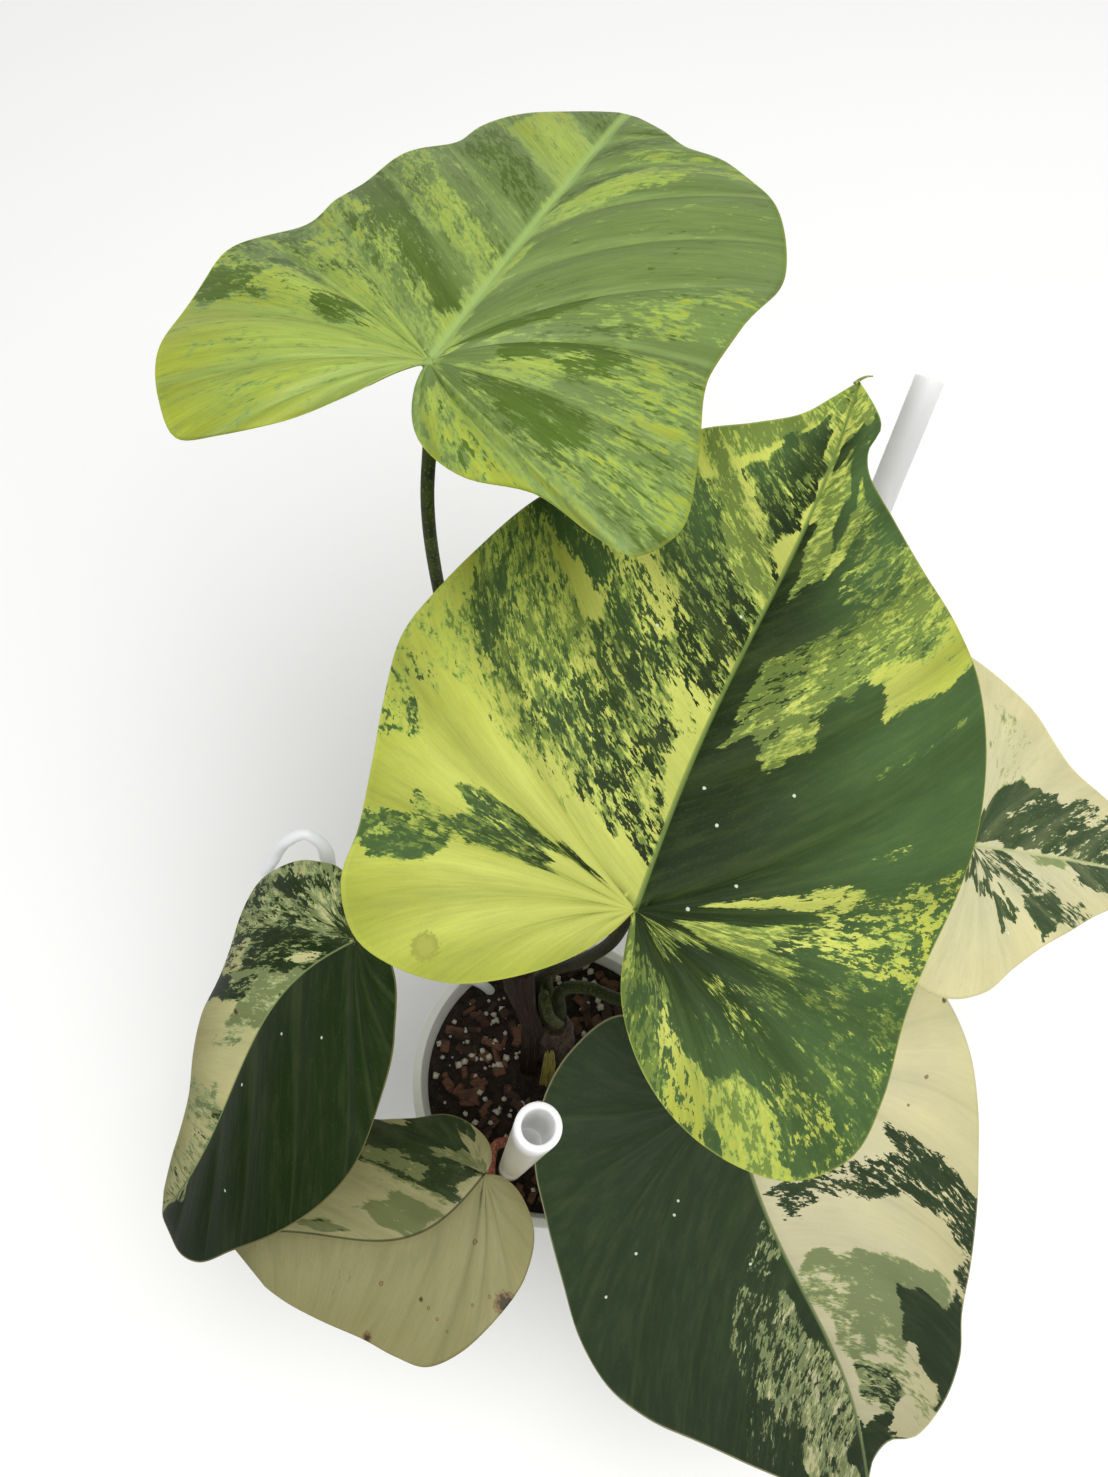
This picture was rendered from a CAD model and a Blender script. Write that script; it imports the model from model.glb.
import math
import random

import bpy
import numpy as np
from mathutils import Matrix, Vector


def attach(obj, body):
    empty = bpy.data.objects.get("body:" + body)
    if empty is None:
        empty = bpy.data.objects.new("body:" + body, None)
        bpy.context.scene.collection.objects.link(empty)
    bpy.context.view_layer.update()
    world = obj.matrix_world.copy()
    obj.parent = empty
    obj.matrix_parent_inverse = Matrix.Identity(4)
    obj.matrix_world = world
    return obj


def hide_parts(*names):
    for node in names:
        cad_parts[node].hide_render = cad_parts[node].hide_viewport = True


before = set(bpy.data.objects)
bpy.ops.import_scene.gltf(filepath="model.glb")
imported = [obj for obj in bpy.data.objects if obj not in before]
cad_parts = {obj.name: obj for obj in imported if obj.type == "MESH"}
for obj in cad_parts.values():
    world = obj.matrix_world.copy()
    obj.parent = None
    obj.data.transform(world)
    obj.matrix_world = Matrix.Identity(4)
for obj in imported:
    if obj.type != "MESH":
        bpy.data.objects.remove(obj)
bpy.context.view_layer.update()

# A variegated philodendron hybrid in a white pot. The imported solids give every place. This script puts fine
# blades, petioles, sheaths, bark and plastics over them. Lengths are millimetres, turned into metres when
# a mesh is made.

MM = 0.001
BODY = "root"

POT_HEIGHT = 104
POT_BASE_RADIUS = 44
POT_RIM_RADIUS = 60
POT_WALL = 1.8
RIM_BAND_HEIGHT = 14
RIM_BAND_STEP = 2.2
POT_FLOOR = 2.4
SOIL_HEIGHT = 92
STAKE_RADIUS = 5
STAKE_BORE_RADIUS = 3.5
STAKE_BORE_DEPTH = 60
STAKE_PALE_END = 22
STAKE_LIP_END = 3
HOOK_RADIUS = 2.3
BLADE_THICKNESS = 0.8
MIDRIB_DEPTH = 1.6
PETIOLE_BASE_RADIUS = 2.5


# Colours

def srgb(red, green, blue):
    """A linear colour from the 0 to 255 values that a screen shows."""
    linear = [v / 12.92 if v <= 0.04045 else ((v + 0.055) / 1.055) ** 2.4
              for v in (red / 255, green / 255, blue / 255)]
    return (*linear, 1.0)


# Short calls for a material's nodes

class Nodes:
    """A new material, and short calls that add nodes to it."""

    def __init__(self, name):
        self.material = bpy.data.materials.new(name)
        self.material.use_nodes = True
        self.tree = self.material.node_tree
        self.shader = self.tree.nodes["Principled BSDF"]

    def put(self, socket, value):
        if isinstance(value, bpy.types.NodeSocket):
            self.tree.links.new(value, socket)
        else:
            socket.default_value = value

    def add(self, kind, inputs=(), **settings):
        node = self.tree.nodes.new(kind)
        for name, value in settings.items():
            setattr(node, name, value)
        for place, value in enumerate(inputs):
            if value is not None:
                self.put(node.inputs[place], value)
        return node

    def math(self, operation, *values):
        return self.add("ShaderNodeMath", values, operation=operation).outputs[0]

    def plus(self, first, second):
        return self.math("ADD", first, second)

    def times(self, first, second):
        return self.math("MULTIPLY", first, second)

    def inverse(self, value):
        """1 less the value."""
        return self.math("SUBTRACT", 1.0, value)

    def scaled(self, vector, factors):
        return self.add("ShaderNodeVectorMath", (vector, factors), operation="MULTIPLY").outputs[0]

    def millimetres(self):
        """The place in the frame, in millimetres."""
        return self.scaled(self.add("ShaderNodeTexCoord").outputs["Object"], (1 / MM, 1 / MM, 1 / MM))

    def attribute(self, name):
        """A stored vector, and its three numbers."""
        node = self.add("ShaderNodeAttribute", attribute_name=name)
        parts = self.add("ShaderNodeSeparateXYZ", (node.outputs["Vector"],))
        return node.outputs["Vector"], parts.outputs

    def noise(self, vector, scale, detail, roughness, distortion=0.0):
        node = self.add("ShaderNodeTexNoise")
        for name, value in {"Vector": vector, "Scale": scale, "Detail": detail, "Roughness": roughness,
                            "Distortion": distortion}.items():
            self.put(node.inputs[name], value)
        return node.outputs["Fac"]

    def stretched(self, vector, factors, detail, roughness):
        """Noise on a vector scaled by its own factor along each axis."""
        return self.noise(self.scaled(vector, factors), 1.0, detail, roughness)

    def cells(self, vector, scale):
        node = self.add("ShaderNodeTexVoronoi")
        self.put(node.inputs["Vector"], vector)
        self.put(node.inputs["Scale"], scale)
        return node.outputs["Distance"]

    def brighten(self, colour, factor):
        """The colour times a number."""
        node = self.add("ShaderNodeVectorMath", (colour,), operation="SCALE")
        self.put(node.inputs["Scale"], factor)
        return node.outputs[0]

    def away_from(self, vector, place):
        """The distance from a fixed place."""
        return self.add("ShaderNodeVectorMath", (vector, place), operation="DISTANCE").outputs["Value"]

    def step(self, value, low, high):
        """0 below low and 1 above high, smooth between them."""
        node = self.add("ShaderNodeMapRange", (value, low, high, 0.0, 1.0), interpolation_type="SMOOTHSTEP")
        return node.outputs[0]

    def mix(self, factor, first, second):
        node = self.add("ShaderNodeMix", data_type="RGBA")
        self.put(node.inputs[0], factor)
        self.put(node.inputs[6], first)
        self.put(node.inputs[7], second)
        return node.outputs[2]

    def bump(self, height, strength, distance):
        node = self.add("ShaderNodeBump")
        self.put(node.inputs["Height"], height)
        self.put(node.inputs["Strength"], strength)
        self.put(node.inputs["Distance"], distance)
        self.put(self.shader.inputs["Normal"], node.outputs[0])

    def surface(self, **values):
        for name, value in values.items():
            self.put(self.shader.inputs[name.replace("_", " ")], value)
        return self.material


# Meshes

def point_attribute(piece, name, values):
    """A vector at each point, for the piece's material to read."""
    attribute = piece.data.attributes.new(name, "FLOAT_VECTOR", "POINT")
    attribute.data.foreach_set("vector", np.asarray(values, np.float32).ravel())


def new_piece(name, points, faces, material, node, wrap=None, smooth=True):
    """A named mesh from points in millimetres. It rides on the one body and stands for the node.
    wrap is each point's place along and round a tube or strip."""
    mesh = bpy.data.meshes.new(name)
    mesh.from_pydata((np.asarray(points, float) * MM).tolist(), [], [list(map(int, face)) for face in faces])
    mesh.update()
    if smooth:
        mesh.shade_smooth()
    else:
        mesh.shade_flat()
    mesh.materials.append(material)
    piece = bpy.data.objects.new(name, mesh)
    bpy.context.scene.collection.objects.link(piece)
    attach(piece, BODY)
    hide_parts(node)
    if wrap is not None:
        point_attribute(piece, "wrap", wrap)
    return piece


def spline(points, place, power=0.25):
    """A centripetal Catmull-Rom curve through the points. place runs from 0 to 1, even over the spans."""
    points = np.asarray(points, float)
    points = np.vstack([2 * points[0] - points[1], points, 2 * points[-1] - points[-2]])
    spans = len(points) - 3
    place = np.asarray(place, float)
    span = np.minimum((place * spans).astype(int), spans - 1)
    t = (place * spans - span)[..., None]
    p0, p1, p2, p3 = (points[span + k] for k in range(4))

    def gap(a, b):
        return np.maximum(((b - a) ** 2).sum(-1, keepdims=True) ** power, 1e-6)

    d0, d1, d2 = gap(p0, p1), gap(p1, p2), gap(p2, p3)
    start = d1 * ((p1 - p0) / d0 - (p2 - p0) / (d0 + d1) + (p2 - p1) / d1)
    end = d1 * ((p2 - p1) / d1 - (p3 - p1) / (d1 + d2) + (p3 - p2) / d2)
    return (p1 + start * t + (3 * (p2 - p1) - 2 * start - end) * t ** 2
            + (2 * (p1 - p2) + start + end) * t ** 3)


def even_curve(points, count):
    """count points spaced evenly along the curve through the points."""
    fine = spline(points, np.linspace(0, 1, 40 * len(points)))
    lengths = np.concatenate([[0], np.cumsum(np.linalg.norm(np.diff(fine, axis=0), axis=1))])
    wanted = np.linspace(0, lengths[-1], count)
    return np.stack([np.interp(wanted, lengths, fine[:, axis]) for axis in range(3)], -1)


def curve_frames(centres):
    """Tangents and two cross directions that turn with the curve without twisting."""
    tangents = np.gradient(centres, axis=0)
    tangents /= np.linalg.norm(tangents, axis=1, keepdims=True)
    side = np.cross(tangents[0], (0.37, 0.83, 0.41))
    sides = []
    for tangent in tangents:
        side = side - tangent * (side @ tangent)
        side /= np.linalg.norm(side)
        sides.append(side)
    sides = np.array(sides)
    return tangents, sides, np.cross(tangents, sides)


def ring_faces(rings, sides, start, first, last):
    """Faces over rings of points, from the point numbered start, closed by the points first and last."""
    faces = []
    top = start + (rings - 1) * sides
    for side in range(sides):
        after = (side + 1) % sides
        faces.append((first, start + after, start + side))
        for low in range(start, top, sides):
            high = low + sides
            faces.append((low + side, low + after, high + after, high + side))
        faces.append((top + side, top + after, last))
    return faces


def grid_quads(grid):
    """The four point numbers round each cell of a grid of point numbers."""
    return np.stack([grid[:-1, :-1], grid[:-1, 1:], grid[1:, 1:], grid[1:, :-1]], -1).reshape(-1, 4)


def tube(points, count, sides, radius_at):
    """Rings round a curve, closed by a point at each end. radius_at takes the place along and the angle."""
    centres = even_curve(points, count)
    tangents, across, over = curve_frames(centres)
    angles = np.linspace(0, 2 * np.pi, sides, endpoint=False)
    along = np.linspace(0, 1, count)
    radii = radius_at(along[:, None], angles[None, :]) * np.ones((count, sides))
    rings = (centres[:, None] + radii[..., None] * (np.cos(angles)[None, :, None] * across[:, None]
                                                    + np.sin(angles)[None, :, None] * over[:, None]))
    vertices = np.vstack([rings.reshape(-1, 3), centres[0], centres[-1]])
    faces = ring_faces(count, sides, 0, count * sides, count * sides + 1)
    lengths = np.linalg.norm(np.diff(centres, axis=0), axis=1).sum() * along
    wrap = np.stack(np.broadcast_arrays(lengths[:, None], angles[None, :], 0.0), -1).reshape(-1, 3)
    wrap = np.vstack([wrap, (0, 0, 0), (lengths[-1], 0, 0)])
    return vertices, faces, wrap


# Leaves. A blade has its own plane: x across it, y along the midrib from the petiole's joint, z up.
# Outlines run from the sinus round the lobe to the tip. rise and bend shape the side veins. fold, curl and
# droop bend the blade, and sway, wobble and lean bend its midrib.
# base is a half's share of dark green, and its share of pale in what isn't dark, each from -1 for none to
# 1 for all. A sector gives other shares, its fifth and sixth numbers, to a stretch of side veins, q from and
# to, and of their length, s from and to. A seventh number slants it, in veins for the whole length. Later
# sectors cover earlier ones.
# soft is how soft the patches' borders are, and lined how much fine lines streak them. mottle is how much
# grey flecks the tissue, deepen how much it darkens towards the tip, and shade how much dark tissue darkens
# towards the midrib. vein_show is how much a side vein shows, and furrow how much it darkens what lies near.
# A spot is its place in the blade, its radius and its kind.

LOBE_VEINS = 6
BODY_VEINS = 5
ALL_VEINS = LOBE_VEINS + BODY_VEINS
ROWS_PER_VEIN = 12
COLUMNS = 44

SPECK_RADIUS = 0.55


def specks(*places):
    """Spots of dust or dried water."""
    return [(x, y, SPECK_RADIUS, "speck") for x, y in places]


LEAVES = {
    "a": dict(
        joint=(-31.8, 150, 367), heading=22.8, pitch=-10.7, roll=-2.6,
        tip=(-4, 164), half_width=78, droop=10, lobe_droop=70, sway=-0.5, wobble=0, lean=-4,
        left=dict(fold=6, curl=14, rise=0.95, bend=(0.5, 0.42), outline=[
            (-5, -7), (-13, -19), (-25, -34), (-38, -43), (-50, -45), (-62, -35), (-72, -20), (-79, -2),
            (-82, 18), (-82, 34), (-75, 48), (-65, 54), (-63, 65), (-64, 79), (-61, 92), (-55, 103),
            (-47, 115), (-44, 127), (-33, 143), (-20, 154)],
            base=(-0.7, 0.15), sectors=[
            (0, 4, 0, 1.1, -0.9, 0.3), (4, 4.5, 0.7, 1.1, 0.3, -0.1, -0.3),
            (4.1, 4.8, 0.22, 0.48, 0.15, 0.1, -1.2), (4.3, 4.6, 0.48, 0.72, -0.2, 0.2, -0.4),
            (4.6, 5.3, 0.54, 1.1, -0.1, -0.2, -0.5), (5.2, 5.9, 0.74, 1.1, -0.2, -0.3),
            (5.55, 6.1, 0.56, 0.92, -0.3, 0.1, -0.3), (5.45, 5.8, 0.25, 0.55, -0.1, 0, -0.8),
            (6, 6.5, 0, 1.1, -0.15, -0.1, -0.5), (6, 6.35, 0, 0.5, -0.4, -0.1, -0.4),
            (6.45, 7.05, 0.06, 1.1, 0.3, -0.3, -0.2), (7, 7.55, 0, 0.6, -0.4, 0.05, -0.3),
            (7, 7.5, 0.6, 1.1, -0.3, -0.2, -0.3), (7.55, 8.95, 0, 1.1, -0.3, -0.5),
            (8.15, 8.85, 0.08, 0.95, 0.05, -0.6), (8.92, 9.95, 0, 0.88, -1, 0.25),
            (8.8, 9.6, 0.86, 1.1, -0.8, -0.3), (9.98, 11.5, 0, 1.1, -0.1, -0.7)]),
        right=dict(fold=6, curl=14, rise=1.15, bend=(0.25, 0.5), outline=[
            (1, -11), (9, -26), (26, -34), (45, -31), (60, -34), (71, -36), (78, -22), (75, 0), (69, 22),
            (67, 38), (69, 58), (73, 82), (71, 102), (63, 122), (52, 137), (38, 146), (24, 145),
            (12, 155)],
            base=(-0.5, -0.7), sectors=[
            (0, 1.1, 0, 1.1, -0.7, -0.3), (1.1, 2.1, 0.3, 1.1, -0.35, 0.08),
            (2.1, 3.1, 0.2, 1.1, -0.4, 0.05), (3, 4.1, 0.2, 1.1, -0.1, -0.25),
            (3.3, 4.1, 0.3, 0.72, 0.25, -0.3), (3.3, 5, 0.74, 1.1, -0.25, -0.15),
            (4.2, 5.05, 0.34, 0.76, 0.25, -0.1, 0.3), (4, 4.3, 0.16, 0.6, -0.5, 0.1, 0.9),
            (5, 6.1, 0.08, 0.36, 0.8, -0.8), (5.1, 6, 0.36, 0.56, 0.3, -0.6),
            (5, 5.9, 0.56, 0.8, -0.2, -0.5), (5.2, 6, 0.74, 1.1, -0.4, -0.3),
            (5.2, 5.45, 0.2, 0.8, -0.6, -0.2, 0.7), (0, 11.5, 0, 0.09, -0.8, 0.1),
            (8.05, 8.5, 0.06, 0.66, -1, 0.15, 0.7), (8.45, 9.6, 0.48, 1.1, -0.9, -0.25),
            (8.4, 9.1, 0.08, 0.46, 0, -0.4, 0.4), (9.5, 10.2, 0.08, 1.1, 0, -0.4, 0.3),
            (10.3, 11.5, 0, 1.1, -0.4, -0.5)]),
        petiole=[(0.5, 16, 118), (-4, 36, 168), (-18, 80, 222), (-32, 116, 260), (-36.6, 131, 287),
                 (-36.3, 137, 325)],
        petiole_radius=2.0, stalk=(60, 71, 29),
        quilting=3.4, wave=1.8, waves=7, slot="leaf_lime", midrib_width=2.6, seed=1.7,
        dark=(76, 100, 26), grey=(106, 128, 66), lime=(134, 158, 76), pale=(158, 178, 80),
        rib=(148, 174, 98), gold=(152, 164, 52), vein_show=0.4, vein_width=1.8, furrow=0.14,
        gloss=0.25, soft=0.12, lined=0.6, mottle=1, deepen=0, shade=0,
        spots=[]),
    "b": dict(
        joint=(22.9, 21.6, 297), heading=23.5, pitch=4, roll=6.7,
        tip=(3, 198), half_width=92, droop=10, lobe_droop=110, sway=1, wobble=-2, lean=3,
        left=dict(fold=8, curl=14, rise=0.95, bend=(0.65, 0.35), outline=[
            (-4, -9), (-12, -20), (-25, -31), (-38, -38), (-53, -40), (-67, -37), (-77, -25), (-79, -10),
            (-84, 8), (-90, 28), (-94, 48), (-91, 66), (-86, 84), (-78, 104), (-66, 122), (-53, 138),
            (-39, 153), (-24, 163), (-11, 174), (-3, 187)],
            base=(-1, 1), sectors=[
            (3.45, 4, 0.62, 1.1, 0.2, -0.3), (3.8, 4.8, 0.22, 0.6, 0.05, -0.25, -0.6),
            (3.9, 4.25, 0.55, 0.8, -0.1, 0), (4.4, 5.6, 0.8, 1.1, -0.15, 0.1),
            (4.8, 5.4, 0.1, 0.25, 0.35, -0.3), (5.5, 6.2, 0.25, 1.1, -0.4, 0.1, -1),
            (6, 7, 0.5, 1.1, -0.18, -0.15, -0.3), (5.9, 6.4, 0.72, 0.9, 0.15, -0.2),
            (6.2, 7.1, 0, 0.5, 0.04, -0.1, -0.3), (6.3, 6.85, 0, 0.2, -0.02, 0.12),
            (7.05, 7.5, 0.55, 1.1, 0.35, -0.1, -0.9), (7, 8.1, 0, 0.55, 0.06, -0.12),
            (7.3, 7.65, 0.02, 0.13, -0.4, 0.5), (7.55, 8, 0.3, 0.62, -0.1, 0.3),
            (8, 9, 0, 0.65, 0.12, -0.25), (8.75, 9.05, 0, 1.1, -0.7, -0.35, 0.5),
            (8.2, 8.8, 0.6, 1.1, 0.1, -0.35), (9.05, 10.1, 0.05, 0.6, 0.14, -0.35, 0.3),
            (9.2, 10.2, 0.64, 1.1, -0.7, -0.42), (9.8, 10.05, 0.55, 0.7, 0.8, -0.5),
            (10, 10.4, 0.22, 0.6, 0.3, -0.5), (10.4, 11.5, 0.1, 0.6, -0.2, -0.3),
            (10, 11.5, 0, 0.2, -0.9, -0.1), (10.2, 11.5, 0.6, 1.1, -0.6, -0.3)]),
        right=dict(fold=8, curl=18, rise=1.25, bend=(0.66, 0.45), outline=[
            (1, -9), (6, -24), (18, -38), (34, -47), (52, -50), (68, -47), (80, -35), (82, -18), (81, 2),
            (82, 20), (85, 46), (85, 68), (80, 92), (71, 110), (58, 124), (44, 136), (29, 150), (17, 162),
            (14, 171), (15, 183)],
            base=(1, -0.4), sectors=[
            (0, 1.1, 0, 1.1, -0.3, -0.3), (1, 1.9, 0.3, 1.1, 0, -0.35),
            (1.55, 2.05, 0.55, 1.1, -0.1, 0.4), (2.05, 2.8, 0.65, 1.1, -0.9, -0.1, 0.6),
            (2, 3, 0.33, 0.62, 0.35, -0.4), (2.1, 3.9, 0.05, 0.2, -0.1, -0.15),
            (2.8, 3.3, 0.28, 0.5, 0.1, 0.1), (2.65, 3.3, 0.6, 1.1, 0.15, 0),
            (3.3, 4.35, 0.3, 1.1, 0.22, -0.35), (4, 4.75, 0.14, 0.42, -0.8, -0.15, 0.5),
            (4.35, 5.15, 0.42, 1.1, 0.04, 0.2, -0.1), (5.1, 5.35, 0.12, 0.6, -0.4, 0.3),
            (5.45, 5.6, 0.6, 0.8, 0.1, 0), (6.2, 6.4, 0.55, 0.95, 0.15, -0.3),
            (6.78, 7.35, 0.6, 1, -1, 0.35), (6.8, 7.15, 0.2, 0.38, -1, -0.05),
            (7.15, 8, 0.08, 0.5, -0.28, -0.34), (7.25, 8, 0.48, 0.86, -0.25, -0.32),
            (7.35, 8.5, 0.84, 1.1, -0.4, -0.25), (8, 9.3, 0.5, 0.92, 0.12, -0.3, 0.6),
            (8.55, 9.5, 0.12, 0.36, -0.5, -0.3, 0.8), (9.3, 10.1, 0.1, 0.56, -1, -0.22, 0.6),
            (9, 9.25, 0.36, 0.85, -0.6, -0.2, 1.6), (9.9, 10.3, 0.42, 0.86, 0.3, -0.3),
            (10.3, 11.5, 0, 1.1, -0.8, -0.2), (9.4, 11.5, 0, 0.14, -0.8, 0)]),
        petiole=[(-2.3, 16.5, 132), (-5.4, 21, 144), (-6.4, 26.5, 166), (-2, 27, 188), (9, 25, 214),
                 (18, 23.8, 246)],
        petiole_radius=1.9, stalk=(44, 43, 20),
        quilting=2.8, wave=0.8, waves=6, slot="leaf_green", midrib_width=1.1, seed=4.1,
        dark=(60, 81, 45), grey=(112, 131, 64), lime=(158, 175, 82), pale=(200, 206, 104),
        rib=(104, 124, 62), gold=(170, 178, 74), vein_show=0.12, vein_width=1.2, furrow=0.22,
        gloss=0.06, soft=0.04, lined=0.3, mottle=0.7, deepen=0, shade=0.65,
        spots=[(-48, -32, 4, "scar"),
               *specks((5, 40), (12, 31), (29, 48), (23, 17), (13, 6), (-4, 95), (-26, 80))]),
    "c": dict(
        joint=(131.9, 51.6, 262), heading=92, pitch=-25, roll=0,
        tip=(-5, 114), half_width=66, droop=8, lobe_droop=60, sway=-2, wobble=0, lean=-5,
        left=dict(fold=8, curl=12, rise=1.5, bend=(0.55, 0.35), outline=[
            (-4, -10), (-16, -28), (-38, -38), (-60, -31), (-74, -12), (-76, 6), (-70, 24), (-58, 37),
            (-47, 44), (-36, 53), (-28, 67), (-18, 88)],
            base=(-1, 1), sectors=[
            (4.3, 5.7, 0.35, 0.85, -1, 0.22), (4.7, 6.3, 0, 0.16, 1, -1),
            (5.2, 6.6, 0.1, 0.62, 1, -1, 1.6), (6.1, 7.8, 0, 0.66, 0.26, 0.3),
            (6.6, 7.7, 0.62, 0.84, 0.1, 0.3), (7, 8.8, 0.5, 0.84, 0.12, 0.4), (7.7, 8.9, 0, 0.6, 0.28, 0),
            (8.9, 11.5, 0, 0.7, 0.1, 0.4)]),
        right=dict(fold=8, curl=12, rise=1.5, bend=(0.5, 0.4), outline=[
            (3, -10), (14, -28), (30, -33), (44, -27), (49, -15), (46, -2), (38, 10), (29, 24), (22, 38),
            (15, 52), (8, 70), (0, 94)],
            base=(-1, 1), sectors=[
            (2.6, 4, 0.16, 0.3, 0.3, 0.6), (4, 4.9, 0.28, 0.42, 0.35, 0.6),
            (4.7, 5.4, 0.42, 0.68, 0.35, 0.6), (3, 5, 0.08, 0.2, 0.2, 0.6),
            (4.8, 6, 0.14, 0.34, 0.25, 0.6), (5.5, 6.6, 0.6, 0.98, 0.28, 0.1),
            (6.5, 7.3, 0.7, 1.1, 0, 0.4), (5.9, 6.6, 0, 0.6, 0.16, 0.5),
            (6.6, 7.9, 0.36, 0.75, -0.35, 0.6), (6.95, 7.85, 0, 0.24, -1, -0.35),
            (7.75, 8.8, 0, 0.75, 0.3, 0), (8.8, 11.5, 0, 0.7, 0.1, 0.1)]),
        petiole=[(3.9, 15.3, 136), (3, 19.5, 158), (3, 21.5, 177), (7, 21.8, 186), (14, 20.3, 191),
                 (25.5, 15.1, 197), (44, 16, 209), (76, 31, 230)],
        petiole_radius=1.9, stalk=(50, 58, 24),
        quilting=1, wave=0.6, waves=5, slot="leaf_cream", midrib_width=1.0, seed=7.3,
        dark=(52, 70, 40), grey=(132, 146, 92), lime=(174, 176, 122), pale=(202, 198, 158),
        rib=(178, 182, 132), gold=(203, 196, 148), vein_show=0.1, vein_width=0.9, furrow=0.06,
        gloss=0.2, soft=0.05, lined=0.16, mottle=1, deepen=0, shade=0,
        spots=specks((27, 9))),
    "d": dict(
        joint=(60.5, -15.4, 197), heading=156.2, pitch=-24.3, roll=4.3,
        tip=(6, 166), half_width=84, droop=12, lobe_droop=90, sway=-1, wobble=3.8, lean=6,
        left=dict(fold=6, curl=12, rise=1.1, bend=(0.72, 0.18), outline=[
            (-3, -10), (-14, -29), (-34, -42), (-58, -41), (-76, -24), (-85, 0), (-87, 24), (-82, 48),
            (-74, 66), (-66, 82), (-58, 98), (-49, 112), (-43, 126), (-32, 140), (-18, 147), (-9, 144),
            (0, 150)],
            base=(-1, 1), sectors=[
            (5.95, 6.8, 0.62, 1.1, 0.25, 0.7, -0.3), (6.4, 6.95, 0.36, 0.66, 0.2, 0.8, -1.2),
            (6.85, 7.28, 0.06, 0.4, 0.1, 1, -1.2), (6.7, 7.9, 0.88, 1.1, 0.12, 0.9),
            (7.65, 8.1, 0.3, 0.9, -1, -0.6, -0.4), (7.8, 9.05, 0.05, 0.62, -0.95, -0.55, -0.3),
            (8.05, 9, 0.06, 0.28, -0.9, -0.15), (7.75, 9.55, 0.9, 1.1, 0.8, -0.4),
            (7.85, 9, 0.7, 0.92, 0.8, -0.4), (8.1, 8.8, 0.58, 0.75, 0.8, -0.4),
            (9, 9.5, 0.4, 0.95, -1, 0.1, 0.8), (9.2, 9.8, 0.1, 0.62, 0, -0.3, 0.8),
            (9.4, 9.75, 0.82, 1.1, -1, 0.2), (9.9, 11.5, 0, 1.1, 0.75, -0.3)]),
        right=dict(fold=6, curl=12, rise=1.3, bend=(0.6, 0.3), outline=[
            (2, -10), (9, -26), (26, -38), (45, -33), (60, -21), (70, -4), (74, 16), (77, 40), (79, 62),
            (76, 84), (68, 98), (56, 112), (44, 126), (34, 137), (22, 152)],
            base=(1, -0.4), sectors=[
            (7.45, 8.1, 0, 0.6, 0.18, -0.3, 0.5), (8.1, 9.05, 0.08, 0.68, -0.08, -0.25),
            (8, 9.25, 0.66, 0.97, 0.35, -0.3), (9, 10.1, 0, 0.62, -0.12, -0.15),
            (9.25, 9.65, 0.62, 0.85, -0.8, 0), (9.6, 10.1, 0.55, 0.85, 0.1, -0.2),
            (10, 11.5, 0, 0.4, 0.6, -0.3), (10, 11.5, 0.4, 1.1, -0.6, -0.1)]),
        petiole=[(4.5, 9.5, 117), (15, 1, 130), (33, -8, 158)],
        petiole_radius=2.1, stalk=(88, 94, 58),
        quilting=1.5, wave=0.8, waves=6, slot="leaf_green", midrib_width=1.0, seed=11.9,
        dark=(43, 57, 36), grey=(124, 134, 92), lime=(154, 163, 110), pale=(198, 192, 156),
        rib=(96, 112, 68), gold=(196, 190, 144), vein_show=0.08, vein_width=0.9, furrow=0.06,
        gloss=0.1, soft=0.04, lined=0.14, mottle=0.4, deepen=0.5, shade=0,
        spots=[*specks((15, 59), (50, 39), (65, 50), (30, 28), (33, 32)),
               (-67.6, 25.4, 0.9, "brown"), (-57.2, 31, 0.6, "brown"),
               (-84.3, 3.9, 1, "dead")]),
    "e": dict(
        joint=(-62.9, 26.2, 242), heading=-126.8, pitch=-38.7, roll=16.8,
        tip=(-10, 156), half_width=52, droop=12, lobe_droop=60, sway=3.5, wobble=6.5, lean=-10,
        left=dict(fold=6, curl=12, rise=1.0, bend=(0.55, 0.3), outline=[
            (-4, -6), (-14, -10), (-25, -8), (-35, 2), (-44, 20), (-52, 42), (-54, 66), (-52, 90),
            (-45, 116), (-38, 138), (-30, 147), (-20, 152)],
            base=(1, -0.5), sectors=[
            (10, 10.7, 0, 0.42, -0.2, -0.1, 0.6)]),
        right=dict(fold=6, curl=14, rise=1.15, bend=(0.5, 0.42), outline=[
            (4, -6), (16, -8), (27, -4), (36, 4), (45, 14), (53, 27), (57, 40), (53, 54), (46, 68),
            (40, 82), (36, 94), (26, 106), (14, 114), (6, 124), (1, 136), (-4, 147)],
            base=(-0.06, -0.25), sectors=[
            (0, 6, 0, 0.15, 0.5, -0.6), (3.8, 5, 0.6, 0.85, 0.3, -0.1), (4.1, 5.2, 0.2, 0.38, -0.7, -0.1),
            (3.5, 4, 0.45, 0.6, -0.8, -0.1), (3, 3.8, 0.8, 1.1, -0.4, -0.1), (5, 6, 0, 1.1, -0.08, -0.25),
            (6, 6.95, 0, 0.72, 0.22, -0.4), (6.42, 6.66, 0.05, 0.26, -0.3, 0.3),
            (6.3, 7, 0.72, 1.1, 0, 0.1), (6.9, 7.1, 0.1, 0.8, -0.9, -0.6), (7.4, 8.9, 0, 1.1, -1, 0.9),
            (6.95, 7.85, 0, 0.44, -1, -0.4), (6.98, 7.45, 0.36, 0.95, 0.12, -0.3),
            (7.05, 7.4, 0.78, 1.1, 0.9, -0.6), (7.85, 8.2, 0.15, 0.6, -1, 0.1),
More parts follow.
